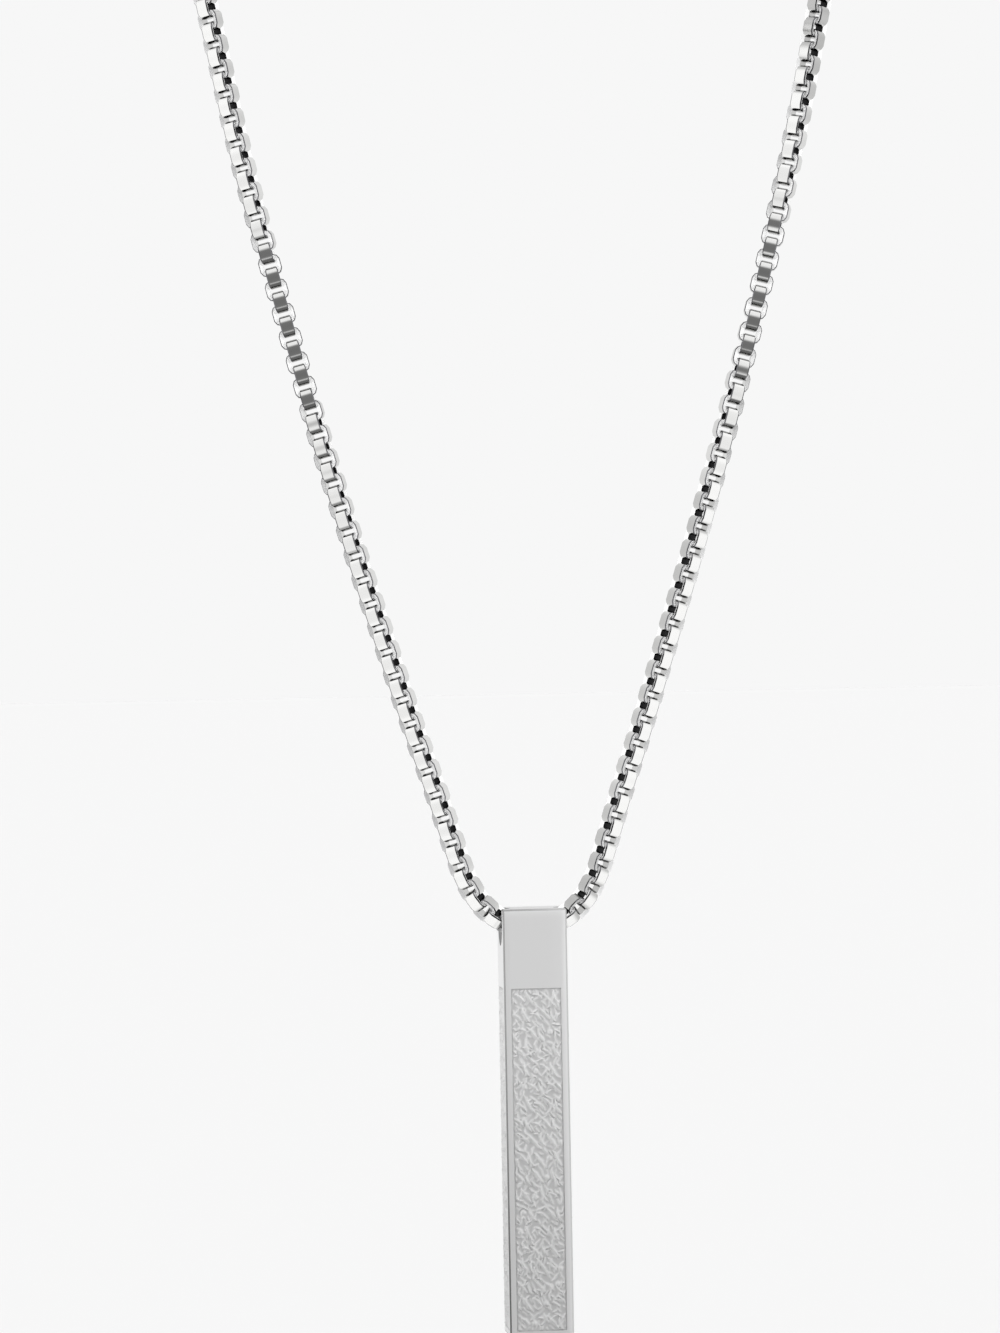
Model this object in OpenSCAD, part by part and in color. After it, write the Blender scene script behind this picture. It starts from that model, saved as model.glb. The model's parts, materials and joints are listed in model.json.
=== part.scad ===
// Bar pendant on a round box chain, as it hangs round a neck.
// The origin is the middle of the neck, level with the chain at the nape. Front is -Y.

/* [Bar] */
// Width of the bar across its front
bar_w = 6; // [5.5:0.5:9]
// Depth of the bar from front to back
bar_d = 6; // [5.5:0.5:9]
// Length of the bar
bar_l = 40; // [30:1:60]
// Bevel along the edges of the bar
bar_bevel = 0.2; // [0.1:0.05:0.4]
// Plain polished length above the relief
plain_l = 7.4; // [6:0.1:12]

/* [Chain hole] */
// Bore of the cross hole that the chain runs through
hole_d = 2.55; // [2.45:0.05:2.7]
// Depth of the hole's centre below the top of the bar
hole_depth = 1.5; // [1.4:0.05:3]
// Diameter of the flared mouth at each end of the hole
mouth_d = 4; // [3.9:0.05:4.4]
// How far each mouth reaches into the bar
mouth_l = 1.4; // [1.3:0.05:1.8]

/* [Relief] */
// Polished border on each side of the relief
border_w = 0.65; // [0.4:0.05:1]
// Polished border below the relief
foot_w = 0.6; // [0.4:0.05:1.5]
// Depth of the relief's floor below the polished face
floor_depth = 0.25; // [0.15:0.05:0.4]
// How far the ridges stand above the polished face
ridge_rise = 0.12; // [0.05:0.01:0.3]
// Width of a ridge at its middle
ridge_w = 0.4; // [0.3:0.05:0.5]
// Length of the longest ridges
ridge_l = 1.8; // [1.4:0.1:2.2]
// Spacing of the ridges across the bar
ridge_gap = 0.85; // [0.75:0.05:1.2]
// Spacing of the rows of ridges along the bar
row_gap = 1.6; // [1.4:0.1:2]
// Slope of the ridges, falling to the right
ridge_slope = 52; // [40:1:70]
// Diameter of the beads among the ridges
bead_d = 0.55; // [0.4:0.05:0.7]

/* [Chain] */
// Width across the box links
chain_w = 2.15; // [1.85:0.05:2.2]
// Wire of the loop soldered to each end of the chain
loop_wire = 0.7; // [0.6:0.05:0.8]
// Width of that loop, outside
loop_w = 2.7; // [2.6:0.05:3]

/* [Clasp] */
// Length of the clasp
clasp_l = 11; // [10:0.5:14]
// Width of the clasp's body
clasp_w = 5.8; // [5.4:0.1:7]
// Thickness of the clasp's body
clasp_t = 2; // [1.6:0.1:2.2]
// Width of the metal round the clasp's opening
clasp_wall = 1.1; // [0.9:0.05:1.2]
// Width of the clasp's eye, outside
eye_w = 2.9; // [2.7:0.1:3.4]
// Thickness of the clasp's eye
eye_t = 1.2; // [0.9:0.1:1.3]
// Width of the metal round the eye
eye_wall = 0.65; // [0.5:0.05:0.7]
// Width of the ring at the clasp's eye, outside
clasp_ring_w = 4.4; // [4.2:0.1:5.4]
// Width of the ring that the clasp hooks, outside
end_ring_w = 5.2; // [5:0.1:6.4]
// Wire of both rings
ring_wire = 0.75; // [0.6:0.05:0.8]
// Gap left between pieces that hang in each other
play = 0.12; // [0.08:0.01:0.2]

/* [Hidden] */
$fn = 48;
tube_sides = 8;
ring_step = 12.5; // longest stretch of chain between two rings of the tube
overlap = 0.05; // how deep a raised or soldered part is rooted in what carries it

// Right half of the chain's route, from the middle of the bar's hole up and round to the nape.
hang = [0, -60, -163];
half_route = [
    [1.6, -60, -162.97],
    [3.1, -60, -162.4],
    [4.1, -60, -161.65],
    [5, -60, -160.65],
    [6.1, -60, -158.7],
    [7.1, -60, -155.8],
    [8.5, -60, -151.3],
    [10.6, -60, -145],
    [12.8, -60, -138],
    [15.9, -60, -128],
    [19.1, -60, -117],
    [22.9, -60, -103],
    [25.9, -60, -91],
    [29, -60, -76],
    [33, -59, -58.5],
    [37, -56.5, -42],
    [41.5, -51, -28.5],
    [47, -41, -17.5],
    [52.5, -27.5, -9],
    [56.8, -11, -4],
    [57.9, 1, -2.2],
    [54.5, 23, -0.5],
    [46.5, 38.5, 0],
    [34.5, 50.5, 0],
    [20, 57.5, 0]
];
nape = [0, 59, 0];

bead_every = 7; // one place in this many holds a bead in place of a ridge
row_drift = 0.25; // how far ridges stray from the middle of their row, as a share of its height
golden = 0.618; // spreads that drift without a pattern that shows
bow_share = 1 / 150; // bow of a ridge for each degree of its turn, as a share of its length

// Kinds of ridge: share of the longest ridge, and turn away from the common slope.
ridge_kinds = [
    [1, 0],
    [0.7, 14],
    [0.9, -10],
    [0.6, 24],
    [0.95, 6],
    [0.75, -18]
];

top_z = hang[2] + hole_depth;
foot_z = top_z - bar_l;
panel_l = bar_l - plain_l - foot_w;
ridge_h = floor_depth + ridge_rise;

loop_r = (loop_w - loop_wire) / 2;
clasp_ring_r = (clasp_ring_w - ring_wire) / 2;
end_ring_r = (end_ring_w - ring_wire) / 2;
// Places along X, counted from the middle of the clasp.
body_x = (clasp_l - clasp_w) / 2;
eye_x = -(clasp_l - eye_w) / 2;
opening_r = clasp_w / 2 - clasp_wall;
clasp_ring_x = eye_x - eye_w / 2 + eye_wall + play
    - hung_reach(clasp_ring_r - ring_wire / 2, eye_t / 2);
end_ring_x = body_x + opening_r - play
    + hung_reach(end_ring_r - ring_wire / 2, clasp_t / 2);
link_play = (ring_wire + loop_wire) / 2 + play;
left_loop_x = clasp_ring_x - clasp_ring_r + link_play - loop_r;
right_loop_x = end_ring_x + end_ring_r - link_play + loop_r;
// The clasp and rings are shifted so that both ends of the chain lie equally far from the middle.
clasp_shift = -(left_loop_x + right_loop_x) / 2;
loop_x = (right_loop_x - left_loop_x) / 2;
tail_x = loop_x + loop_r;

// How far a ring's inside reaches along its middle line, past a bar of the given half thickness.
function hung_reach(inner_r, half_t) = sqrt(inner_r * inner_r - half_t * half_t);

function unit(v) = v / norm(v);
function mirrored(p) = [-p[0], p[1], p[2]];
function share(n, step) = n * step - floor(n * step);

// Route of the whole chain, from its left end at the nape round the front to its right end.
right_half = concat(half_route, [nape + [tail_x, 0, 0]]);
last = len(right_half) - 1;
route = concat(
    [for (i = [last:-1:0]) mirrored(right_half[i])],
    [hang],
    right_half
);
spans = len(route) - 1;
span_l = [for (i = [0:spans - 1]) norm(route[i + 1] - route[i])];
span_way = [for (i = [0:spans - 1]) (route[i + 1] - route[i]) / span_l[i]];
way = [
    for (i = [0:spans])
        i == 0 ? span_way[0]
        : i == spans ? span_way[spans - 1]
        : (span_way[i - 1] * span_l[i] + span_way[i] * span_l[i - 1]) / (span_l[i - 1] + span_l[i])
];

// A point on span i of the smooth curve through the route, t from 0 to 1.
function on_curve(i, t) =
    (2 * t * t * t - 3 * t * t + 1) * route[i]
    + (t * t * t - 2 * t * t + t) * span_l[i] * way[i]
    + (3 * t * t - 2 * t * t * t) * route[i + 1]
    + (t * t * t - t * t) * span_l[i] * way[i + 1];

centres = concat(
    [
        for (i = [0:spans - 1])
            let (steps = ceil(span_l[i] / ring_step))
            for (k = [0:steps - 1]) on_curve(i, k / steps)
    ],
    [route[spans]]
);

// A closed tube of the given radius swept along a list of points that runs round the Z axis.
module swept_tube(points, r) {
    n = len(points);
    rings = [
        for (i = [0:n - 1])
            let (
                back = i == 0 ? points[0] : points[i - 1],
                ahead = i == n - 1 ? points[n - 1] : points[i + 1],
                along = unit(
                    (i == n - 1 ? [0, 0, 0] : unit(ahead - points[i]))
                    + (i == 0 ? [0, 0, 0] : unit(points[i] - back))
                ),
                side = unit(cross(along, [points[i][0], points[i][1], 0])),
                out = cross(side, along)
            )
            for (k = [0:tube_sides - 1])
                let (a = 360 * k / tube_sides)
                points[i] + r * (cos(a) * out + sin(a) * side)
    ];
    first_cap = [for (k = [0:tube_sides - 1]) k];
    last_cap = [for (k = [tube_sides - 1:-1:0]) (n - 1) * tube_sides + k];
    walls = [
        for (i = [0:n - 2], k = [0:tube_sides - 1])
            let (
                a = i * tube_sides + k,
                b = i * tube_sides + (k + 1) % tube_sides
            )
            [a, a + tube_sides, b + tube_sides, b]
    ];
    polyhedron(rings, concat([first_cap, last_cap], walls));
}

// A round wire ring about the Z axis, r to the middle of its wire.
module wire_ring(r, wire) {
    rotate_extrude() translate([r, 0]) circle(d = wire);
}

// One ridge seen from its face: a bowed stroke with pointed ends, its middle at the origin.
module ridge(l, bow) {
    x = l / 4;
    y = ridge_w / 2;
    polygon([[-l / 2, 0], [-x, bow + y], [x, bow + y], [l / 2, 0], [x, bow - y], [-x, bow - y]]);
}

// The relief of one face, flat: staggered rows of sloping ridges with beads among them,
// cut off at the border. X runs across the face and Y up from the foot of the panel.
module relief(w) {
    rows = floor(panel_l / row_gap);
    columns = floor(w / ridge_gap) + 1;
    intersection() {
        translate([-w / 2 + overlap, overlap]) square([w - 2 * overlap, panel_l - 2 * overlap]);
        union() {
            for (row = [0:rows - 1], column = [0:columns - 1]) {
                kind = ridge_kinds[(row * 5 + column) % len(ridge_kinds)];
                number = row * columns + column;
                stagger = (row % 3 - 1) / 3;
                drift = (share(number, golden) - 0.5) * row_drift;
                l = ridge_l * kind[0];
                translate([
                    (column + 0.5 + stagger) * ridge_gap - columns * ridge_gap / 2,
                    (row + 0.5 + drift) * panel_l / rows
                ])
                    if (number % bead_every == 2) circle(d = bead_d, $fn = 8);
                    else rotate(kind[1] - ridge_slope) ridge(l, kind[1] * l * bow_share);
            }
        }
    }
}

// The bar's block with every edge bevelled, its foot at z = 0.
module block() {
    c = bar_bevel;
    x = bar_w / 2;
    y = bar_d / 2;
    intersection() {
        linear_extrude(bar_l)
            polygon([
                [c - x, -y], [x - c, -y], [x, c - y], [x, y - c],
                [x - c, y], [c - x, y], [-x, y - c], [-x, c - y]
            ]);
        translate([0, y, 0]) rotate([90, 0, 0]) linear_extrude(bar_d)
            polygon([
                [c - x, 0], [x - c, 0], [x, c], [x, bar_l - c],
                [x - c, bar_l], [c - x, bar_l], [-x, bar_l - c], [-x, c]
            ]);
        translate([-x, 0, 0]) rotate([90, 0, 90]) linear_extrude(bar_w)
            polygon([
                [c - y, 0], [y - c, 0], [y, c], [y, bar_l - c],
                [y - c, bar_l], [c - y, bar_l], [-y, bar_l - c], [-y, c]
            ]);
    }
}

// The cross hole, straight in the middle and flared to a mouth at each side of the bar.
module chain_hole() {
    straight = bar_w - 2 * mouth_l;
    past = 1;
    slope = (mouth_d - hole_d) / 2 / mouth_l;
    rotate([0, 90, 0]) rotate_extrude()
        polygon([
            [0, -bar_w / 2 - past],
            [mouth_d / 2 + past * slope, -bar_w / 2 - past],
            [hole_d / 2, -straight / 2],
            [hole_d / 2, straight / 2],
            [mouth_d / 2 + past * slope, bar_w / 2 + past],
            [0, bar_w / 2 + past]
        ]);
}

// Puts a shape on each of the four faces. Face 0 is the front, and odd faces are the sides.
module on_face(face) {
    depth = face % 2 == 0 ? bar_d : bar_w;
    rotate([0, 0, 90 * face]) translate([0, -depth / 2, foot_w]) children();
}

function panel_w(face) = (face % 2 == 0 ? bar_w : bar_d) - 2 * border_w;

module bar() {
    color("silver")
        translate([hang[0], hang[1], foot_z]) {
            difference() {
                block();
                for (face = [0:3])
                    on_face(face)
                        translate([-panel_w(face) / 2, -floor_depth, 0])
                            cube([panel_w(face), 2 * floor_depth, panel_l]);
                translate([0, 0, bar_l - hole_depth]) chain_hole();
            }
            for (face = [0:3])
                on_face(face)
                    translate([0, floor_depth + overlap, 0])
                        rotate([90, 0, 0])
                            linear_extrude(ridge_h + overlap) relief(panel_w(face));
        }
}

module chain() {
    color("gainsboro") {
        swept_tube(centres, chain_w / 2);
        for (side = [-1, 1])
            translate(nape + [side * loop_x, 0, 0]) rotate([90, 0, 0]) wire_ring(loop_r, loop_wire);
    }
}

// The clasp's outline from behind: a round body that narrows to the eye.
module clasp_outline() {
    translate([body_x, 0]) circle(d = clasp_w);
    polygon([
        [body_x, clasp_w / 2],
        [eye_x, eye_w / 2 - eye_wall],
        [eye_x, eye_wall - eye_w / 2],
        [body_x, -clasp_w / 2]
    ]);
}

module clasp() {
    thumb_d = clasp_w / 4;
    color("gainsboro")
        translate(nape + [clasp_shift, 0, 0]) rotate([90, 0, 0]) {
            difference() {
                union() {
                    translate([0, 0, -clasp_t / 2]) linear_extrude(clasp_t) clasp_outline();
                    translate([body_x, clasp_w / 2, -clasp_t / 4]) cylinder(d = thumb_d, h = clasp_t / 2);
                }
                translate([body_x, 0, -clasp_t]) cylinder(r = opening_r, h = 2 * clasp_t);
                translate([eye_x, 0, -clasp_t]) cylinder(d = eye_w + 2 * play, h = 2 * clasp_t);
            }
            difference() {
                translate([eye_x, 0, -eye_t / 2]) cylinder(d = eye_w + 3 * play, h = eye_t);
                translate([eye_x, 0, -eye_t]) cylinder(d = eye_w - 2 * eye_wall, h = 2 * eye_t);
            }
        }
}

module clasp_ring() {
    color("gainsboro")
        translate(nape + [clasp_shift + clasp_ring_x, 0, 0]) wire_ring(clasp_ring_r, ring_wire);
}

module end_ring() {
    color("gainsboro")
        translate(nape + [clasp_shift + end_ring_x, 0, 0]) wire_ring(end_ring_r, ring_wire);
}

bar();
chain();
clasp();
clasp_ring();
end_ring();
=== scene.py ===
import json
import math

import bpy
import numpy as np
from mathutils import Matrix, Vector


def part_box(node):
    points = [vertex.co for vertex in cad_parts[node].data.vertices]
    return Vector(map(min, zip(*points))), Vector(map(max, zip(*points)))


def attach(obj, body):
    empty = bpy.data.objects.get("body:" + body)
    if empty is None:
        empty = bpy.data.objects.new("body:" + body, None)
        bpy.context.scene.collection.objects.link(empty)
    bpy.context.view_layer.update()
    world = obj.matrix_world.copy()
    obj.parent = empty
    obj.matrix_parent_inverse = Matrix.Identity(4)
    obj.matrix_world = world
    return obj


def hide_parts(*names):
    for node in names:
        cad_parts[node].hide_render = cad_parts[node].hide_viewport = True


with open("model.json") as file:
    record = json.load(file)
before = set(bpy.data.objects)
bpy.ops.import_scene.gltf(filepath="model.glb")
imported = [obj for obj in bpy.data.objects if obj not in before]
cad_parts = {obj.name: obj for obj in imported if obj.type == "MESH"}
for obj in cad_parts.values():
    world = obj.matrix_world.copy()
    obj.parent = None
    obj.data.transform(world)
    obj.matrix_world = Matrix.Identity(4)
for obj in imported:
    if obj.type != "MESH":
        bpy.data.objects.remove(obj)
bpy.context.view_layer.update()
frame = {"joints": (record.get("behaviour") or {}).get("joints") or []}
mm = 0.001  # every size below is in millimetres, and becomes metres here
hang = np.array(frame["joints"][0]["pos_m"]) / mm  # middle of the bar's hole, where the chain carries it


# Looks: colours and one helper for shader nodes

def linearColour(hexCode):
    # sRGB hex to the linear colour that a socket takes
    channels = [int(hexCode[i:i + 2], 16) / 255 for i in (1, 3, 5)]
    linear = [c / 12.92 if c <= 0.04045 else ((c + 0.055) / 1.055) ** 2.4 for c in channels]
    return (*linear, 1.0)


def addNode(tree, kind, settings=None, values=None, links=None):
    # adds one node with its settings, its constant inputs and what is linked into it
    node = tree.nodes.new(kind)
    for name, value in (settings or {}).items():
        setattr(node, name, value)
    for socket, value in (values or {}).items():
        node.inputs[socket].default_value = value
    for socket, source in (links or {}).items():
        tree.links.new(source, node.inputs[socket])
    return node


def newMaterial(name, surface, look):
    # an empty material; surface(tree, look) builds its nodes and returns the shader's output
    material = bpy.data.materials.new(name)
    material.use_nodes = True
    tree = material.node_tree
    tree.nodes.clear()
    addNode(tree, "ShaderNodeOutputMaterial", links={"Surface": surface(tree, look)})
    return material


# Meshes: grids of points and the faces between them

def gridFaces(rows, columns, closeRows, closeColumns):
    # quads between neighbouring rows and columns of a grid of points, the last joined to the first where it closes
    i, j = np.meshgrid(np.arange(rows - (not closeRows)), np.arange(columns - (not closeColumns)), indexing="ij")
    i, j = i.ravel(), j.ravel()
    row, nextRow, nextColumn = i * columns, (i + 1) % rows * columns, (j + 1) % columns
    return np.stack([row + j, row + nextColumn, nextRow + nextColumn, nextRow + j], 1)


def meshPiece(name, points, quads, caps=(), sharpAngle=40):
    # puts points (millimetres) and faces into a mesh object; caps are flat faces of many corners
    mesh = bpy.data.meshes.new(name)
    loops = np.concatenate([quads.ravel(), *[np.asarray(c) for c in caps]]).astype(np.int32)
    totals = np.array([4] * len(quads) + [len(c) for c in caps], np.int32)
    mesh.vertices.add(len(points))
    mesh.vertices.foreach_set("co", (points * mm).astype(np.float32).ravel())
    mesh.loops.add(len(loops))
    mesh.loops.foreach_set("vertex_index", loops)
    mesh.polygons.add(len(totals))
    mesh.polygons.foreach_set("loop_start", np.concatenate([[0], np.cumsum(totals)[:-1]]).astype(np.int32))
    mesh.polygons.foreach_set("use_smooth", np.ones(len(totals), bool))
    mesh.update(calc_edges=True)
    mesh.validate()
    mesh.set_sharp_from_angle(angle=math.radians(sharpAngle))
    piece = bpy.data.objects.new(name, mesh)
    bpy.context.scene.collection.objects.link(piece)
    return piece


def addAttribute(piece, name, values, domain="POINT"):
    # one number for each point or face, which a material reads
    attribute = piece.data.attributes.new(name, "FLOAT", domain)
    attribute.data.foreach_set("value", values.ravel().astype(np.float32))


def smoothStep(value, low, high):
    # 0 below low, 1 above high, and 3t^2 - 2t^3 for the share t of the way between
    t = np.clip((value - low) / (high - low), 0, 1)
    return t * t * (3 - 2 * t)


# Camera, as the photograph was taken: level, a little to the left of the bar

cameraView = {
    "distance": 500,  # from the bar's middle plane
    "azimuth": -5.0,  # degrees round the bar, negative to its left
    "roll": 1.05,  # degrees, leans the bar's foot to the right
    "height": -138.8,  # level of the lens
    "focal": 5325,  # pixels, with the image taken as 1000 x 1333
    "imageHeight": 1333,
    "aimX": -2.55,  # how far right of the hang point the picture's middle looks
}


def addCamera(view):
    # pinhole camera whose axis is level and passes aimX beside the bar's middle
    data = bpy.data.cameras.new("photoCamera")
    data.sensor_fit = "VERTICAL"
    data.sensor_height = 36
    data.lens = view["focal"] / view["imageHeight"] * data.sensor_height
    data.clip_start = 0.01
    data.clip_end = 100
    camera = bpy.data.objects.new("photoCamera", data)
    bpy.context.scene.collection.objects.link(camera)
    turn = math.radians(view["azimuth"])
    right = np.array([math.cos(turn), math.sin(turn), 0])
    back = np.array([math.sin(turn), -math.cos(turn), 0])
    target = np.array([hang[0], hang[1], view["height"]]) + right * view["aimX"]
    camera.location = (target + back * view["distance"]) * mm
    camera.rotation_mode = "XYZ"
    camera.rotation_euler = (math.radians(90), math.radians(view["roll"]), turn)
    bpy.context.scene.camera = camera


addCamera(cameraView)
print("camera placed")


# The chain's route, the same points as the construction's, from the middle of the hole to the nape

halfRoute = np.array([
    [1.6, -60, -162.97], [3.1, -60, -162.4], [4.1, -60, -161.65], [5, -60, -160.65], [6.1, -60, -158.7],
    [7.1, -60, -155.8], [8.5, -60, -151.3], [10.6, -60, -145], [12.8, -60, -138], [15.9, -60, -128],
    [19.1, -60, -117], [22.9, -60, -103], [25.9, -60, -91], [29, -60, -76], [33, -59, -58.5],
    [37, -56.5, -42], [41.5, -51, -28.5], [47, -41, -17.5], [52.5, -27.5, -9], [56.8, -11, -4],
    [57.9, 1, -2.2], [54.5, 23, -0.5], [46.5, 38.5, 0], [34.5, 50.5, 0], [20, 57.5, 0],
])

chainLook = {
    "napeY": 59,
    "pitch": 1.18,  # from one link to the next
    "width": 2.14,  # outside, across a link's walls
    "strip": 0.42,  # thickness of the strip
    "wallHalf": 0.61,  # half the strip's width at the walls
    "barHalf": 0.54,  # half the strip's width at the ends, where the next link hangs
    "play": 0.03,  # between the ends of two links that hang in each other
    "roundness": 3.0,  # power of a link's outline: 2 is an ellipse, more is squarer
    "turns": np.array([17, 45, 73]),  # degrees round a quarter of the outline
    # across the strip: depth into it, and place as a share of its half width
    "section": np.array([[0.18, -1], [0, -0.83], [0, 0.83], [0.18, 1], [1, 0.74], [1, -0.74]]),
    "barStarts": (0.6, 0.97),  # shares of a link's half length between which its wall narrows to its end
    "firstLink": 0.25,  # from the end loop's wire to the first link's middle
    "reach": 0.3,  # how far before and behind a link its direction is read
    "facesFront": (30, 62),  # depths between which the walls turn from facing outwards to facing forwards
    "liesFlat": (-45, -12),  # and places from front to back between which the twist dies out
    # level, and degrees that the links are turned there; at 0 every other link shows its wall face on
    "twistLeft": np.array([[-163, 36], [-158, 34], [-152, 30], [-130, 28], [-127, 23], [-121, 21], [-115.5, 19],
                           [-112.5, 3], [-101, 5], [-98, 20], [-94, 28], [-88, 34], [-76, 36]]),
    "twistRight": np.array([[-163, 35], [-158, 32], [-150, 25], [-138, 27], [-125, 31], [-120.4, 21], [-117.5, 15],
                            [-112.4, 11], [-110.4, 2], [-104.4, -4], [-98.3, -10], [-96.6, -20], [-92.2, -28],
                            [-85.6, -40], [-76.2, -52]]),
    "shadedInsideLinks": 0,  # 0: even links are painted dark inside as shade, 1: odd ones
    "loopRadius": 1.0,  # loop on each end, to the middle of its wire
    "loopWire": 0.7,
    "ringWire": 0.75,  # wire of the clasp's ring and the end ring
    "ringGap": 0.12,  # between the loop's wire and the ring's
}


def chainEndX(look):
    # the end loop hangs in the clasp's ring, whose inside the frame gives
    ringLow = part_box("clasp_ring")[0]
    insideX = -(ringLow.x / mm + look["ringWire"] / 2)
    return insideX + look["loopRadius"] - (look["ringWire"] + look["loopWire"]) / 2 - look["ringGap"]


def smoothRoute(look):
    # cubic Hermite spans through the route; the tangent at a point weighs the two chords by the other's length
    end = [chainEndX(look) + look["loopRadius"], look["napeY"], 0]
    right = np.vstack([halfRoute, [end]])
    way = np.vstack([right[::-1] * [-1, 1, 1], [hang], right])
    chord = np.diff(way, axis=0)
    length = np.linalg.norm(chord, axis=1)
    unit = chord / length[:, None]
    middle = (unit[:-1] * length[1:, None] + unit[1:] * length[:-1, None]) / (length[:-1] + length[1:])[:, None]
    slope = np.vstack([unit[:1], middle, unit[-1:]])
    t = np.linspace(0, 1, 200, endpoint=False)[None, :, None]
    a, b, da, db = way[:-1, None], way[1:, None], slope[:-1, None], slope[1:, None]
    span = length[:, None, None]
    points = ((2 * t**3 - 3 * t**2 + 1) * a + (t**3 - 2 * t**2 + t) * span * da
              + (3 * t**2 - 2 * t**3) * b + (t**3 - t**2) * span * db).reshape(-1, 3)
    points = np.vstack([points, way[-1:]])
    along = np.concatenate([[0], np.cumsum(np.linalg.norm(np.diff(points, axis=0), axis=1))])
    return points, along


def linkFrames(look):
    # where each link lies: its middle, the chain's direction there, and the direction that its walls face
    points, along = smoothRoute(look)
    total, first, reach = along[-1], look["firstLink"], look["reach"]
    count = int(round((total - 2 * first) / look["pitch"] / 2)) * 2 + 1  # odd, so both end links hang alike
    place = np.linspace(first, total - first, count)
    middle = np.stack([np.interp(place, along, points[:, k]) for k in range(3)], 1)
    ahead = np.stack([np.interp(place + reach, along, points[:, k]) for k in range(3)], 1)
    behind = np.stack([np.interp(place - reach, along, points[:, k]) for k in range(3)], 1)
    tangent = ahead - behind
    tangent /= np.linalg.norm(tangent, axis=1)[:, None]
    # walls face away from the neck, and on the front strands straight forward
    radial = middle * [1, 1, 0]
    radial /= np.linalg.norm(radial, axis=1)[:, None]
    front = smoothStep(-middle[:, 2], *look["facesFront"])[:, None]
    facing = radial * (1 - front) + np.array([0, -1, 0]) * front
    side = np.cross(tangent, facing)
    side /= np.linalg.norm(side, axis=1)[:, None]
    out = np.cross(side, tangent)
    roll = np.radians(rollOfChain(middle, look)) + np.arange(count) % 2 * math.pi / 2
    wall = out * np.cos(roll)[:, None] + side * np.sin(roll)[:, None]
    return middle, tangent, wall


def rollOfChain(middle, look):
    # each strand lies twisted about its own line, by degrees read from a list of levels; round the neck it lies flat
    left = np.interp(middle[:, 2], *look["twistLeft"].T)
    right = np.interp(middle[:, 2], *look["twistRight"].T)
    front = 1 - smoothStep(middle[:, 1], *look["liesFlat"])
    return np.where(middle[:, 0] > 0, right, left) * front


def oneLink(look, pitch):
    # a strip bent into a ring: round the ring one way, across the strip the other. The ring's outline is
    # |x / a|^n + |y / b|^n = 1, and the hole is the same outline drawn in by the strip's thickness.
    around = np.radians((np.arange(4)[:, None] * 90 + look["turns"]).ravel())
    c, s = np.cos(around), np.sin(around)
    outline = np.stack([np.sign(c) * np.abs(c) ** (2 / look["roundness"]),
                        np.sign(s) * np.abs(s) ** (2 / look["roundness"])], 1)
    size = np.array([look["width"] / 2, (pitch + look["play"]) / 2 + look["strip"]])
    outer = outline * size
    inner = outline * (size - look["strip"])
    depth, across = look["section"].T
    atEnd = smoothStep(np.abs(outline[:, 1]), *look["barStarts"])
    halfStrip = look["wallHalf"] + (look["barHalf"] - look["wallHalf"]) * atEnd
    flat = outer[:, None] * (1 - depth)[None, :, None] + inner[:, None] * depth[None, :, None]
    inside = np.broadcast_to(depth > 0.9, flat.shape[:2]).astype(float)
    # the jump in depth between two corners of the section tells its faces apart: small bevels, large cut sides
    step = np.abs(np.diff(depth, append=depth[0]))
    bevels = np.broadcast_to(step == depth[0], flat.shape[:2]).astype(float)
    cutSides = np.broadcast_to(step > 0.5, flat.shape[:2]).astype(float)
    return flat[..., 0], flat[..., 1], across[None] * halfStrip[:, None], inside, bevels, cutSides


def wireLoop(centre, radius, wire, axis, steps=32, sides=12):
    # a torus: a circle of wire carried round a circle
    a = np.linspace(0, 2 * math.pi, steps, endpoint=False)[:, None]
    b = np.linspace(0, 2 * math.pi, sides, endpoint=False)[None]
    ring = radius + wire / 2 * np.cos(b)
    flat = [ring * np.cos(a), ring * np.sin(a)]
    rise = wire / 2 * np.sin(b) + 0 * a
    order = {"Y": (flat[0], -rise, flat[1]), "Z": (flat[0], flat[1], rise)}[axis]
    return np.stack(order, -1).reshape(-1, 3) + centre, gridFaces(steps, sides, True, True)[:, ::-1]


def makeChain(look):
    # the same link at every place: its middle, plus the link's points along the directions of its wall, the chain
    # and the strip's width
    middle, tangent, wall = linkFrames(look)
    count = len(middle)
    pitch = np.linalg.norm(np.diff(middle, axis=0), axis=1).mean()
    wallPart, alongPart, acrossPart, inside, bevels, cutSides = oneLink(look, pitch)
    across = np.cross(tangent, wall)
    points = (middle[:, None, None] + wallPart[None, ..., None] * wall[:, None, None]
              + alongPart[None, ..., None] * tangent[:, None, None]
              + acrossPart[None, ..., None] * across[:, None, None])
    rings, sides = wallPart.shape
    one = gridFaces(rings, sides, True, True)
    quads = (np.arange(count)[:, None, None] * rings * sides + one[None]).reshape(-1, 4)
    points = points.reshape(-1, 3)
    edges, cut = np.tile(bevels.ravel(), count), np.tile(cutSides.ravel(), count)
    # every other link is rougher inside and painted dark there as shade; the rest are polished all over
    shadedInside = (inside.ravel()[None] * (np.arange(count) % 2 == look["shadedInsideLinks"])[:, None]).ravel()
    for x in (-chainEndX(look), chainEndX(look)):
        loop, loopQuads = wireLoop(np.array([x, look["napeY"], 0]), look["loopRadius"], look["loopWire"], "Y")
        quads = np.vstack([quads, loopQuads + len(points)])
        points = np.vstack([points, loop])
        shadedInside = np.concatenate([shadedInside, np.zeros(len(loop))])
        edges, cut = [np.concatenate([values, np.zeros(len(loopQuads))]) for values in (edges, cut)]
    chain = meshPiece("box_chain", points, quads, sharpAngle=30)
    # inside carries the painted shade inside every other link, edge the painted shade on the bevels
    addAttribute(chain, "inside", shadedInside)
    addAttribute(chain, "edge", edges, "FACE")
    addAttribute(chain, "cut", cut, "FACE")
    print(f"chain: {count} links, pitch {pitch:.3f} mm, {len(quads)} faces")
    return chain


chain = makeChain(chainLook)


# The bar

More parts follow.
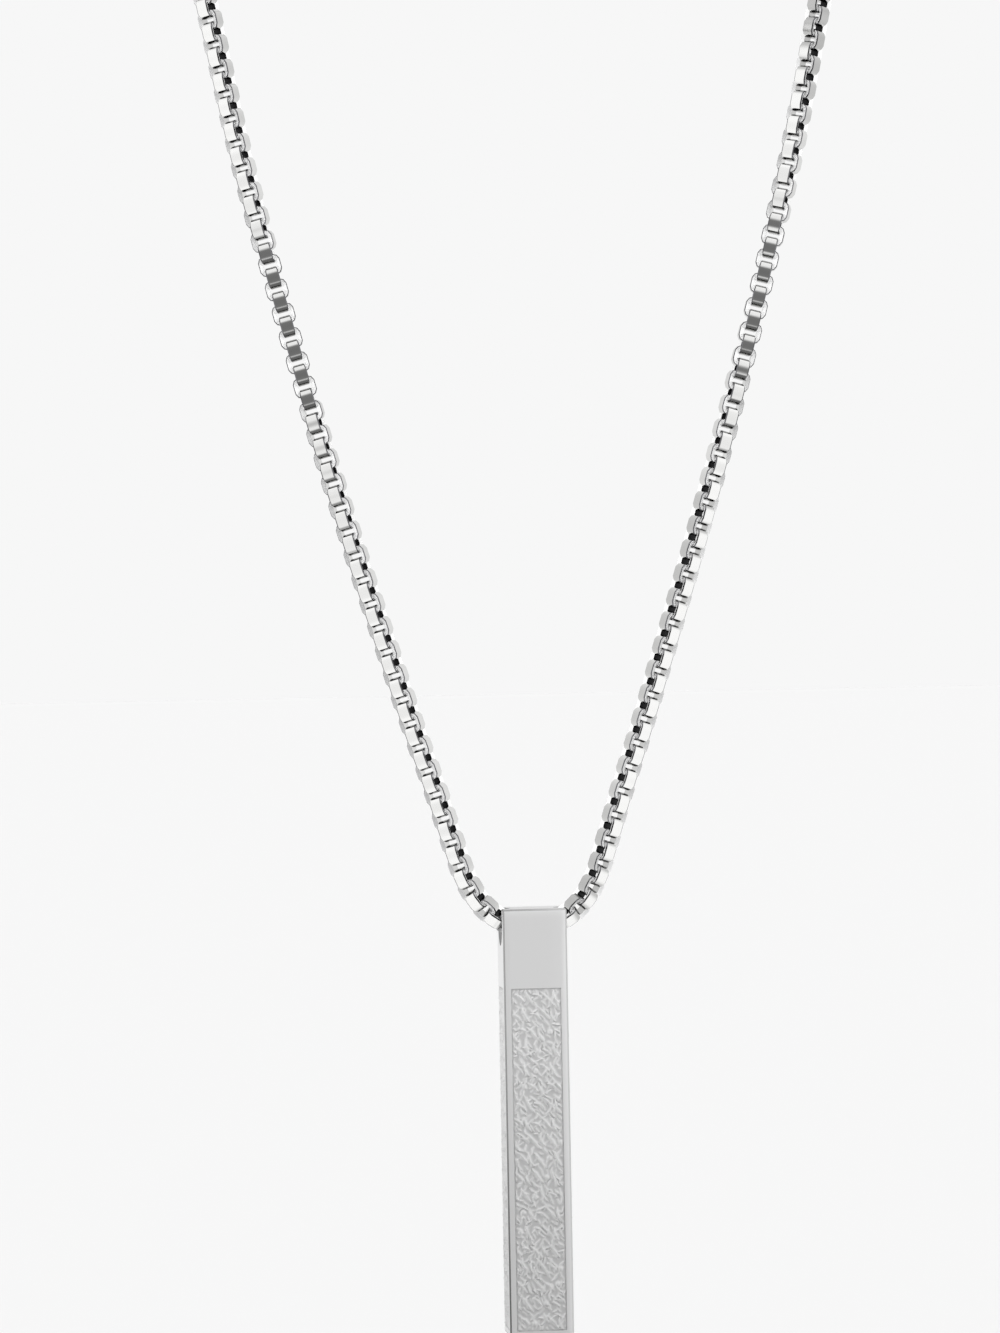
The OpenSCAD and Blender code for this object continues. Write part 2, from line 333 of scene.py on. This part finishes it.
barLook = {
    "width": 6.0,
    "length": 40.0,
    "aboveHole": 1.5,  # from the hole's middle to the top
    "edge": 0.15,  # radius of its edges
    "edgeSteps": 3,
    "plain": 7.4,  # polished length above the relief
    "plainRows": 12,
    "border": 0.65,  # polished border on both sides of the relief
    "foot": 0.6,  # and below it
    "floor": [0.15, 0.2, 0.15, 0.2],  # depth of the relief's floor on the front, right, back and left
    "rise": [0.02, 0.1, 0.02, 0.1],  # and how far its crests stand proud there
    "wall": 0.04,  # width of the step down to the floor
    "fade": 0.2,  # the relief rises to its full height this far from the panel's edge
    "grid": 0.09,  # spacing of the points that carry the relief
    "polishedCrest": 0.5,  # share of its grey cast skin that a crest has lost
    "holeDiameter": 2.55,
    "mouthDiameter": 4.0,
    "mouthLength": 1.4,
    "holeSides": 64,
    "sharpAngle": 50,  # the relief stays smooth, the step down to its floor and the hole's rim sharp
}

ridgeLook = {
    "width": 0.32,
    "length": 1.8,
    "across": 0.85,  # spacing of the ridges across the bar
    "rowGap": 1.6,  # and along it
    "slope": 52,  # degrees, falling to the right
    "bead": 0.55,  # diameter
    "beadEvery": 7,  # a bead takes the place of every seventh ridge
    "drift": 0.25,  # how unevenly the ridges stand along the bar
    "golden": 0.618,  # share of the way round that each next ridge's drift moves on
    "bow": 1 / 150,  # bend of a ridge, for each degree of its turn
    "kinds": np.array([[1, 0], [0.7, 14], [0.9, -10], [0.6, 24], [0.95, 6], [0.75, -18]]),  # share of length, turn
    "smallAcross": 0.46,  # spacing of the small strokes between the ridges, and along the bar
    "smallAlong": 0.58,
    "smallWidth": 0.25,
    "smallLength": 0.85,
    "smallLengths": (0.6, 1.2),  # least and most share of that length
    "smallHeights": (0.5, 0.95),  # least and most share of a ridge's height
    "smallOff": 0.22,  # how far a small stroke stands off its place
    "smallTurn": 16,  # spread of its slope, degrees
    "smallBow": 0.1,
    "crossing": 0.4,  # share of the small strokes that slope the other way
    "seed": 70,
}


def strokeHeight(x, y, centreX, centreY, turn, length, bow, width):
    # rounded strokes: across each the height is a bell, (1 - q^2)^1.5 for the share q of its half width, and along
    # it the width shrinks by (1 - t^2)^0.33 for the share t of its half length, to a point at both ends
    dx, dy = x[..., None] - centreX, y[..., None] - centreY
    a = np.radians(turn)
    lx, ly = dx * np.cos(a) + dy * np.sin(a), dy * np.cos(a) - dx * np.sin(a)
    t = np.clip(2 * lx / length, -1, 1)
    half = width / 2 * np.maximum(1 - t * t, 0) ** 0.33
    q = (ly - bow * (1 - t * t)) / np.maximum(half, 1e-6)
    return np.maximum(1 - q * q, 0) ** 1.5


def reliefHeight(x, y, panelWidth, panelLength, look, face):
    # 0 on the floor to 1 at the crests, from staggered rows of ridges with beads, and small strokes between them;
    # the kinds of ridge start five further in each row, and each row stands a third of a spacing to one side
    rows = int(panelLength // look["rowGap"])
    columns = int(panelWidth // look["across"]) + 1
    row, column = [a.ravel() for a in np.meshgrid(np.arange(rows), np.arange(columns), indexing="ij")]
    kind = look["kinds"][(row * 5 + column) % len(look["kinds"])]
    number = row * columns + column
    drift = (number * look["golden"] % 1 - 0.5) * look["drift"]
    centreX = (column + 0.5 + (row % 3 - 1) / 3) * look["across"] - columns * look["across"] / 2
    centreY = (row + 0.5 + drift) * panelLength / rows
    length = look["length"] * kind[:, 0]
    bead = number % look["beadEvery"] == 2
    strokes = strokeHeight(x, y, centreX[~bead], centreY[~bead], kind[~bead, 1] - look["slope"], length[~bead],
                           kind[~bead, 1] * length[~bead] * look["bow"], look["width"])
    away = np.hypot(x[..., None] - centreX[bead], y[..., None] - centreY[bead]) / (look["bead"] / 2)
    beads = np.sqrt(np.maximum(1 - away * away, 0))
    # small strokes stand on a grid of their own, each a little off its place
    chance = np.random.default_rng(look["seed"] + face)
    places = np.stack(np.meshgrid(np.arange(-panelWidth / 2, panelWidth / 2, look["smallAcross"]),
                                  np.arange(0, panelLength, look["smallAlong"])), -1).reshape(-1, 2)
    n, off, bow = len(places), look["smallOff"], look["smallBow"]
    places = places + chance.uniform(-off, off, (n, 2)) + [look["smallAcross"] / 2, look["smallAlong"] / 2]
    lean = np.where(chance.random(n) < look["crossing"], look["slope"], -look["slope"])
    small = strokeHeight(x, y, places[:, 0], places[:, 1], chance.normal(lean, look["smallTurn"]),
                         look["smallLength"] * chance.uniform(*look["smallLengths"], n),
                         chance.uniform(-bow, bow, n), look["smallWidth"])
    small = small * chance.uniform(*look["smallHeights"], n)
    return np.maximum(np.maximum(strokes.max(-1), beads.max(-1)), small.max(-1))


def faceSteps(low, high, border, wall, grid):
    # places across a face: its flat ends, the step down and an even grid on the floor
    inside = high - low - 2 * border - 2 * wall
    count = int(round(inside / grid))
    floor = np.linspace(low + border + wall, high - border - wall, count + 1)
    return np.concatenate([[low, low + border], floor, [high - border, high]])


def makeBar(look, ridges):
    # a square section with rounded corners, carried up the bar: each point is pushed along the section's normal,
    # inwards at the two ends' edges and on the relief's floor, outwards on its crests
    half, r = look["width"] / 2, look["edge"]
    top = hang[2] + look["aboveHole"]
    foot = top - look["length"]
    # one side of the square section, from its left corner's arc to the right, then turned for the other three
    u = faceSteps(-half + r, half - r, look["border"] - r, look["wall"], look["grid"])
    arc = np.linspace(0, math.pi / 2, look["edgeSteps"] + 1)[1:-1]
    sideX = np.concatenate([u, half - r + r * np.sin(arc)])
    sideY = np.concatenate([np.full(len(u), -half), -half + r - r * np.cos(arc)])
    normalX = np.concatenate([np.zeros(len(u)), np.sin(arc)])
    normalY = np.concatenate([-np.ones(len(u)), -np.cos(arc)])
    # along the bar: foot edge, border, floor grid, plain length, top edge
    panelLow, panelHigh = foot + look["foot"], top - look["plain"]
    edgeArc = np.linspace(0, math.pi / 2, look["edgeSteps"] + 1)
    footZ = foot + r - r * np.cos(edgeArc)
    footInset = r - r * np.sin(edgeArc)
    count = int(round((panelHigh - panelLow - 2 * look["wall"]) / look["grid"]))
    floorZ = np.linspace(panelLow + look["wall"], panelHigh - look["wall"], count + 1)
    plainZ = np.linspace(panelHigh, top - r, look["plainRows"])
    topZ = top - r + r * np.sin(edgeArc[1:])
    topInset = r - r * np.cos(edgeArc[1:])
    z = np.concatenate([footZ, [panelLow], floorZ, plainZ, topZ])
    inset = np.concatenate([footInset, np.zeros(1 + len(floorZ) + len(plainZ)), topInset])
    # the relief's panel: its rows and columns of points, and how far each point is from the panel's edge
    panelRows = slice(len(footZ) + 1, len(footZ) + 1 + len(floorZ))
    panelColumns = slice(2, len(u) - 2)
    gridX, gridZ = np.meshgrid(u[panelColumns], floorZ - panelLow)
    panelW, panelL = look["width"] - 2 * look["border"], panelHigh - panelLow
    edgeGap = np.minimum(panelW / 2 - np.abs(gridX), np.minimum(gridZ, panelL - gridZ))
    fade = smoothStep(edgeGap, look["wall"], look["fade"])
    sides, casts, bevels = [], [], []
    for face in range(4):
        level, cast = np.zeros((2, len(z), len(sideX)))
        relief = reliefHeight(gridX, gridZ, panelW, panelL, ridges, face) * fade
        floor, rise = look["floor"][face], look["rise"][face]
        level[panelRows, panelColumns] = (floor + rise) * relief - floor
        cast[panelRows, panelColumns] = 1 - look["polishedCrest"] * relief
        push = level - inset[:, None]
        x = sideX + push * normalX
        y = sideY + push * normalY
        c, s = [(1, 0), (0, 1), (-1, 0), (0, -1)][face]
        bevels.append(np.arange(len(sideX)) >= len(u) - 1)
        sides.append(np.stack([x * c - y * s + hang[0], x * s + y * c + hang[1], z[:, None] + 0 * x], -1))
        casts.append(cast)
    grid = np.concatenate(sides, 1)
    cast = np.concatenate(casts, 1)
    rows, columns = cast.shape
    quads = gridFaces(rows, columns, False, True)
    caps = [np.arange(columns)[::-1], np.arange((rows - 1) * columns, rows * columns)]
    bar = meshPiece("steel_bar", grid.reshape(-1, 3), quads, caps, look["sharpAngle"])
    addAttribute(bar, "cast", cast)
    # the end rows and the corner arcs carry the edges' painted shade
    endRows = (np.arange(rows - 1) < look["edgeSteps"]) | (np.arange(rows - 1) >= rows - 1 - look["edgeSteps"])
    edges = (endRows[:, None] | np.concatenate(bevels)[None]).astype(float).ravel()
    addAttribute(bar, "edge", np.concatenate([edges, np.zeros(len(caps))]), "FACE")
    cutHole(bar, look)
    print(f"bar: {len(bar.data.polygons)} faces")
    return bar


def cutHole(bar, look):
    # the hole is a profile turned round the X axis, straight in the middle and flared at both mouths
    half, past, sides = look["width"] / 2, 1.0, look["holeSides"]
    straight = half - look["mouthLength"]
    slope = (look["mouthDiameter"] - look["holeDiameter"]) / 2 / look["mouthLength"]
    x = np.array([-half - past, -straight, straight, half + past])
    radius = look["holeDiameter"] / 2 + slope * np.maximum(np.abs(x) - straight, 0)
    angle = np.linspace(0, 2 * math.pi, sides, endpoint=False)
    points = np.stack([x[:, None] + 0 * angle, radius[:, None] * np.cos(angle), radius[:, None] * np.sin(angle)], -1)
    caps = [np.arange(sides)[::-1], np.arange(3 * sides, 4 * sides)]
    cutter = meshPiece("hole_cutter", points.reshape(-1, 3) + hang, gridFaces(4, sides, False, True), caps)
    addAttribute(cutter, "edge", np.ones(len(cutter.data.polygons)), "FACE")  # the hole's wall takes this over, and with it the edges' painted shade
    cut = bar.modifiers.new("hole", "BOOLEAN")
    cut.operation = "DIFFERENCE"
    cut.solver = "EXACT"
    cut.object = cutter
    bpy.context.view_layer.update()
    cutBar = bpy.data.meshes.new_from_object(bar.evaluated_get(bpy.context.evaluated_depsgraph_get()))
    bar.modifiers.clear()
    bar.data = cutBar
    cutBar.set_sharp_from_angle(angle=math.radians(look["sharpAngle"]))
    bpy.data.objects.remove(cutter)


bar = makeBar(barLook, ridgeLook)


# The clasp and its two rings, which hang behind the neck

claspLook = {
    "bodyWidth": 5.8,
    "bodyX": 2.6,  # middle of the round opening, from the clasp's own middle
    "opening": 1.8,  # radius
    "thickness": 2.0,
    "eyeX": -4.05,  # middle of the eye that the clasp's ring runs through
    "eyeOutside": 1.62,  # radius
    "eyeHole": 0.8,
    "eyeThickness": 1.2,
    "eyeOverlap": 0.25,  # how far the body's end reaches into the eye
    "thumbRadius": 0.72,
    "thumbThickness": 1.0,
    "softness": 3.2,  # power of the section's outline: 2 is round, more is squarer
}


def roundedPlate(centre, outer, inner, thickness, softness, angles, sides=16):
    # a plate with a hole: round the hole one way; round the section the other, a superellipse between the
    # hole's edge and the outline
    b = np.linspace(0, 2 * math.pi, sides, endpoint=False)[None]
    c, s = np.cos(b), np.sin(b)
    reach = np.sign(c) * np.abs(c) ** (2 / softness)
    rise = np.sign(s) * np.abs(s) ** (2 / softness) * thickness / 2
    radius = (outer + inner)[:, None] / 2 + (outer - inner)[:, None] / 2 * reach
    x, z = radius * np.cos(angles)[:, None], radius * np.sin(angles)[:, None]
    points = np.stack([x, -rise + 0 * x, z], -1).reshape(-1, 3) + centre
    return points, gridFaces(len(angles), sides, True, True)[:, ::-1]


def thumbTab(centre, radius, thickness, sides=24, rows=9):
    # a flattened ball, cut flat just short of its two poles
    a = np.linspace(0, 2 * math.pi, sides, endpoint=False)[None]
    b = np.linspace(-1.35, 1.35, rows)[:, None]  # radians, a little under a right angle
    x, y, z = radius * np.cos(b) * np.cos(a), thickness / 2 * np.sin(b) + 0 * a, radius * np.cos(b) * np.sin(a)
    points = np.stack([x, y, z], -1).reshape(-1, 3) + centre
    caps = [np.arange(sides), np.arange((rows - 1) * sides, rows * sides)[::-1]]
    return points, gridFaces(rows, sides, False, True)[:, ::-1], caps


def makeClasp(look):
    # the body is a drop: round the opening, straight sides that narrow to the eye, a flat end in the eye
    half = look["bodyWidth"] / 2
    middle = np.array([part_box("clasp")[1].x / mm - half - look["bodyX"], chainLook["napeY"], 0])
    a = np.linspace(0, 2 * math.pi, 96, endpoint=False)
    neck = look["bodyX"] - look["eyeX"]
    narrow = (half - look["eyeHole"]) / neck
    side = half / (np.abs(np.sin(a)) - narrow * np.cos(a)).clip(1e-3)
    end = (neck - look["eyeOutside"] + look["eyeOverlap"]) / (-np.cos(a)).clip(1e-3)
    drop = np.where(np.cos(a) < 0, np.maximum(half, np.minimum(side, end)), half)
    body, quads = roundedPlate(middle + [look["bodyX"], 0, 0], drop, np.full(len(a), look["opening"]),
                               look["thickness"], look["softness"], a)
    e = np.linspace(0, 2 * math.pi, 48, endpoint=False)
    eye, eyeQuads = roundedPlate(middle + [look["eyeX"], 0, 0], np.full(len(e), look["eyeOutside"]),
                                 np.full(len(e), look["eyeHole"]), look["eyeThickness"], look["softness"], e)
    thumb, thumbQuads, caps = thumbTab(middle + [look["bodyX"], 0, half], look["thumbRadius"],
                                       look["thumbThickness"])
    start = len(body) + len(eye)
    return meshPiece("clasp_body", np.vstack([body, eye, thumb]),
                     np.vstack([quads, eyeQuads + len(body), thumbQuads + start]), [c + start for c in caps])


def makeRing(name, node, wire):
    # a torus lying flat, as wide as the node's box
    low, high = [np.array(corner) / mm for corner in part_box(node)]
    points, quads = wireLoop((low + high) / 2, (high[0] - low[0] - wire) / 2, wire, "Z", 48, 16)
    return meshPiece(name, points, quads)


clasp = makeClasp(claspLook)
claspRing = makeRing("clasp_jump_ring", "clasp_ring", chainLook["ringWire"])
endRing = makeRing("end_jump_ring", "end_ring", chainLook["ringWire"])
print("clasp and rings made")


# Materials

barFinish = {
    "polished": "#ececec",
    "shadedFoot": "#dddddd",  # painted shade at the foot
    "shadedFootBetween": (-0.2, -0.165),  # metres, from the foot up to where the painted shade ends
    "castSkin": "#e9e9e9",  # times the colour above, on the relief's floor
    "roughness": (0.58, 0.68),  # on the polished faces and on the relief's floor
    "paintedLightRight": 1.03,  # times the colour towards the right edge, a painted light
    "paintedLightRightBetween": (0.0012, 0.003),
    # painted shade on the bar's edges and the hole's wall: greyer on the left, greyest at the foot there, lighter on
    # the right
    "shadedEdgeLeft": "#a6a6a6",
    "shadedEdgeLeftFoot": "#6a6a6a",
    "shadedEdgeRight": "#c2c2c2",
    "shadedEdgeBetween": (-0.0025, 0.0025),
    "grain": 0.25,  # millimetres, coarser than the real one so that it shows
    "grainHeight": 0.02,
    "grainStrength": 0.1,
}


def satinSteel(tree, look):
    # cast stainless steel, polished and then satin finished: soft wide reflections that hide what they reflect. The
    # sunk relief keeps its grey cast skin, which is half worn off the crests. The colour is darker towards the foot as
    # a painted shade and lighter towards the right edge as a painted light; the edges and the hole's wall carry a
    # painted shade, greyest at the foot on the left.
    coords = addNode(tree, "ShaderNodeTexCoord")
    place = addNode(tree, "ShaderNodeSeparateXYZ", {}, {}, {"Vector": coords.outputs["Object"]})
    cast = addNode(tree, "ShaderNodeAttribute", {"attribute_name": "cast"})
    # painted shade: the colour darkens towards the foot
    low, high = look["shadedFootBetween"]
    shadedFoot = addNode(tree, "ShaderNodeMapRange", {"interpolation_type": "SMOOTHSTEP"},
                     {"From Min": low, "From Max": high}, {"Value": place.outputs["Z"]})
    polish = addNode(tree, "ShaderNodeMix", {"data_type": "RGBA"},
                     {6: linearColour(look["shadedFoot"]), 7: linearColour(look["polished"])},
                     {0: shadedFoot.outputs["Result"]})
    skin = addNode(tree, "ShaderNodeMix", {"data_type": "RGBA"},
                   {6: linearColour("#ffffff"), 7: linearColour(look["castSkin"])}, {0: cast.outputs["Fac"]})
    colour = addNode(tree, "ShaderNodeMix", {"data_type": "RGBA", "blend_type": "MULTIPLY"}, {0: 1.0},
                     {6: polish.outputs[2], 7: skin.outputs[2]})
    # painted light: the colour brightens towards the right edge
    low, high = look["paintedLightRightBetween"]
    brighter = addNode(tree, "ShaderNodeMapRange", {},
                       {"From Min": low, "From Max": high, "To Min": 1.0, "To Max": look["paintedLightRight"]},
                       {"Value": place.outputs["X"]})
    across = addNode(tree, "ShaderNodeMix", {"data_type": "RGBA", "blend_type": "MULTIPLY"}, {0: 1.0},
                     {6: colour.outputs[2], 7: brighter.outputs["Result"]})
    smooth, coarse = look["roughness"]
    rough = addNode(tree, "ShaderNodeMapRange", {}, {"To Min": smooth, "To Max": coarse},
                    {"Value": cast.outputs["Fac"]})
    grain = addNode(tree, "ShaderNodeTexNoise", {}, {"Scale": 1 / (look["grain"] * mm), "Detail": 2.0},
                    {"Vector": coords.outputs["Object"]})
    bump = addNode(tree, "ShaderNodeBump", {},
                   {"Strength": look["grainStrength"], "Distance": look["grainHeight"] * mm},
                   {"Height": grain.outputs["Fac"]})
    # painted shade on the edges and the hole's wall, darker on the left and at the foot
    edge = addNode(tree, "ShaderNodeAttribute", {"attribute_name": "edge"})
    shadedLeftEdge = addNode(tree, "ShaderNodeMix", {"data_type": "RGBA"},
                       {6: linearColour(look["shadedEdgeLeftFoot"]), 7: linearColour(look["shadedEdgeLeft"])},
                       {0: shadedFoot.outputs["Result"]})
    low, high = look["shadedEdgeBetween"]
    sideways = addNode(tree, "ShaderNodeMapRange", {}, {"From Min": low, "From Max": high},
                       {"Value": place.outputs["X"]})
    edgeShadeTone = addNode(tree, "ShaderNodeMix", {"data_type": "RGBA"}, {7: linearColour(look["shadedEdgeRight"])},
                       {0: sideways.outputs["Result"], 6: shadedLeftEdge.outputs[2]})
    edgeShaded = addNode(tree, "ShaderNodeMix", {"data_type": "RGBA"}, {},
                    {0: edge.outputs["Fac"], 6: across.outputs[2], 7: edgeShadeTone.outputs[2]})
    shader = addNode(tree, "ShaderNodeBsdfPrincipled", {}, {"Metallic": 1.0},
                     {"Base Color": edgeShaded.outputs[2], "Roughness": rough.outputs["Result"],
                      "Normal": bump.outputs["Normal"]})
    return shader.outputs["BSDF"]


chainFinish = {
    "wall": "#c4c4c3",
    "roughness": (0.06, 0.14),  # least and most, over the wear
    "wear": 1 / 0.9,  # millimetres from patch to patch
    # painted shade inside every other link, for the dark gaps between the links
    "inside": "#2c2c2d",
    "insideRoughness": 0.45,
    "cut": "#f4f4f4",
    "cutRoughness": 0.5,
    # painted shade on the bevels
    "edge": "#5e5e60",
}


def polishedSteel(tree, look):
    # stamped, bent and tumbled stainless steel strip: crisp reflections on the walls, matte pale sides where the
    # strip was cut, painted shade on the bevels, and inside every other link rougher metal where the polish doesn't
    # reach, painted dark there as the shade in the gaps between the links
    coords = addNode(tree, "ShaderNodeTexCoord")
    wear = addNode(tree, "ShaderNodeTexNoise", {}, {"Scale": 1 / (look["wear"] * mm), "Detail": 3.0},
                   {"Vector": coords.outputs["Object"]})
    # the inside is rougher, and painted dark as shade
    inside = addNode(tree, "ShaderNodeAttribute", {"attribute_name": "inside"})
    least, most = look["roughness"]
    polish = addNode(tree, "ShaderNodeMapRange", {}, {"To Min": least, "To Max": most},
                     {"Value": wear.outputs["Fac"]})
    rough = addNode(tree, "ShaderNodeMix", {"data_type": "FLOAT"}, {3: look["insideRoughness"]},
                    {0: inside.outputs["Fac"], 2: polish.outputs["Result"]})
    colour = addNode(tree, "ShaderNodeMix", {"data_type": "RGBA"},
                     {6: linearColour(look["wall"]), 7: linearColour(look["inside"])}, {0: inside.outputs["Fac"]})
    cut = addNode(tree, "ShaderNodeAttribute", {"attribute_name": "cut"})
    cutRough = addNode(tree, "ShaderNodeMix", {"data_type": "FLOAT"}, {3: look["cutRoughness"]},
                       {0: cut.outputs["Fac"], 2: rough.outputs[0]})
    cutColour = addNode(tree, "ShaderNodeMix", {"data_type": "RGBA"}, {7: linearColour(look["cut"])},
                        {0: cut.outputs["Fac"], 6: colour.outputs[2]})
    # painted shade on the bevels
    edge = addNode(tree, "ShaderNodeAttribute", {"attribute_name": "edge"})
    edgeShaded = addNode(tree, "ShaderNodeMix", {"data_type": "RGBA"}, {7: linearColour(look["edge"])},
                    {0: edge.outputs["Fac"], 6: cutColour.outputs[2]})
    shader = addNode(tree, "ShaderNodeBsdfPrincipled", {}, {"Metallic": 1.0},
                     {"Base Color": edgeShaded.outputs[2], "Roughness": cutRough.outputs[0]})
    return shader.outputs["BSDF"]


barSteel = newMaterial("satin_stainless_steel", satinSteel, barFinish)
chainSteel = newMaterial("polished_stainless_steel", polishedSteel, chainFinish)
bar.data.materials.clear()
# piece, its steel, the body that it rides on, the node that it stands for, and its slot in the record
for piece, steel, body, node, slot in ((bar, barSteel, "pendant", "bar", "bar_steel"),
                                       (chain, chainSteel, "necklace", "chain", "chain_steel"),
                                       (clasp, chainSteel, "necklace", "clasp", "clasp_steel"),
                                       (claspRing, chainSteel, "necklace", "clasp_ring", "clasp_steel"),
                                       (endRing, chainSteel, "necklace", "end_ring", "clasp_steel")):
    piece.data.materials.append(steel)
    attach(piece, body)
    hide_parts(node)
print("materials given")


# Floor and light

stage = {
    "floorDrop": 45,  # below the bar's foot
    "floorHalf": 20000,
    "paper": "#e9e9e9",
    "background": "#f7f7f7",
    "brightest": 2.2,  # light that the top of the ramp below stands for
    # light by the angle from where the photograph was taken: the dim room there, bright boxes round it, grey side
    # walls, and the lit backdrop
    "bands": [(1, 0.26), (22, 0.28), (37, 1.45), (52, 1.5), (66, 1.72), (78, 1.7), (88, 1.0), (100, 0.85), (112, 0.97),
              (129, 1.25), (142, 1.1), (165, 0.88), (179, 0.85)],
    # share of that light by the angle from a direction: dark floor in front, and the gap between backdrop and ceiling
    "shades": [((0, -0.6, -0.8), [(0, 0.12), (17, 0.15), (26, 1), (180, 1)]),
               ((0, 0.62, 0.78), [(0, 0.15), (16, 0.15), (24, 1), (180, 1)])],
}


def mattePaper(tree, look):
    # uncoated white paper: plain and matte, with no sheen
    return addNode(tree, "ShaderNodeBsdfDiffuse", {}, {"Color": linearColour(look["paper"])}).outputs["BSDF"]


def addFloor(look):
    # a flat sheet below the bar, out to where it meets the backdrop's level
    low = hang[2] + barLook["aboveHole"] - barLook["length"] - look["floorDrop"]
    h = look["floorHalf"]
    points = np.array([[-h, -h, low], [h, -h, low], [h, h, low], [-h, h, low]], float)
    floor = meshPiece("floor", points, np.array([[0, 1, 2, 3]]))
    floor.data.materials.append(newMaterial("matte_paper", mattePaper, look))
    floor.visible_glossy = False  # the steel reflects the light all round in its place


def lightByAngle(tree, cosine, stops, brightest):
    # a ramp over the angle whose cosine is given, from 0 to 180 degrees
    angle = addNode(tree, "ShaderNodeMath", {"operation": "ARCCOSINE"}, {}, {0: cosine})
    share = addNode(tree, "ShaderNodeMath", {"operation": "DIVIDE"}, {1: math.pi}, {0: angle.outputs["Value"]})
    bands = addNode(tree, "ShaderNodeValToRGB", {}, {}, {"Fac": share.outputs["Value"]})
    ramp = bands.color_ramp
    ramp.interpolation = "EASE"
    first, last = ramp.elements
    for stop, (degrees, light) in zip([first, last], [stops[0], stops[-1]]):
        stop.position = degrees / 180
        stop.color = (light / brightest,) * 3 + (1,)
    for degrees, light in stops[1:-1]:
        ramp.elements.new(degrees / 180).color = (light / brightest,) * 3 + (1,)
    return bands.outputs["Color"]


def addLight(look):
    # one soft studio round the object, the same from every side that it is looked at: bright boxes to both sides, and
    # a dim patch where the photograph was taken from
    world = bpy.data.worlds.new("studio")
    bpy.context.scene.world = world
    world.use_nodes = True
    tree = world.node_tree
    tree.nodes.clear()
    # the light goes by bands of the angle from that direction, and is dimmed round each shade's direction
    coords = addNode(tree, "ShaderNodeTexCoord")
    turn = math.radians(cameraView["azimuth"])
    toCamera = (math.sin(turn), -math.cos(turn), 0)
    facing = addNode(tree, "ShaderNodeVectorMath", {"operation": "DOT_PRODUCT"}, {1: toCamera},
                     {0: coords.outputs["Generated"]})
    light = lightByAngle(tree, facing.outputs["Value"], look["bands"], look["brightest"])
    for direction, stops in look["shades"]:
        towards = addNode(tree, "ShaderNodeVectorMath", {"operation": "DOT_PRODUCT"}, {1: direction},
                          {0: coords.outputs["Generated"]})
        shade = lightByAngle(tree, towards.outputs["Value"], stops, 1)
        light = addNode(tree, "ShaderNodeMath", {"operation": "MULTIPLY"}, {}, {0: light, 1: shade}).outputs["Value"]
    strength = addNode(tree, "ShaderNodeMath", {"operation": "MULTIPLY"}, {1: look["brightest"]}, {0: light})
    lit = addNode(tree, "ShaderNodeBackground", {}, {"Color": (1, 1, 1, 1)}, {"Strength": strength.outputs["Value"]})
    seen = addNode(tree, "ShaderNodeBackground", {}, {"Color": linearColour(look["background"])})
    path = addNode(tree, "ShaderNodeLightPath")
    mix = addNode(tree, "ShaderNodeMixShader", {}, {},
                  {0: path.outputs["Is Camera Ray"], 1: lit.outputs["Background"], 2: seen.outputs["Background"]})
    addNode(tree, "ShaderNodeOutputWorld", {}, {}, {"Surface": mix.outputs["Shader"]})


addFloor(stage)
addLight(stage)
bpy.context.scene.view_settings.view_transform = "Standard"  # greys stay as they are, with no film curve
print("stage set")
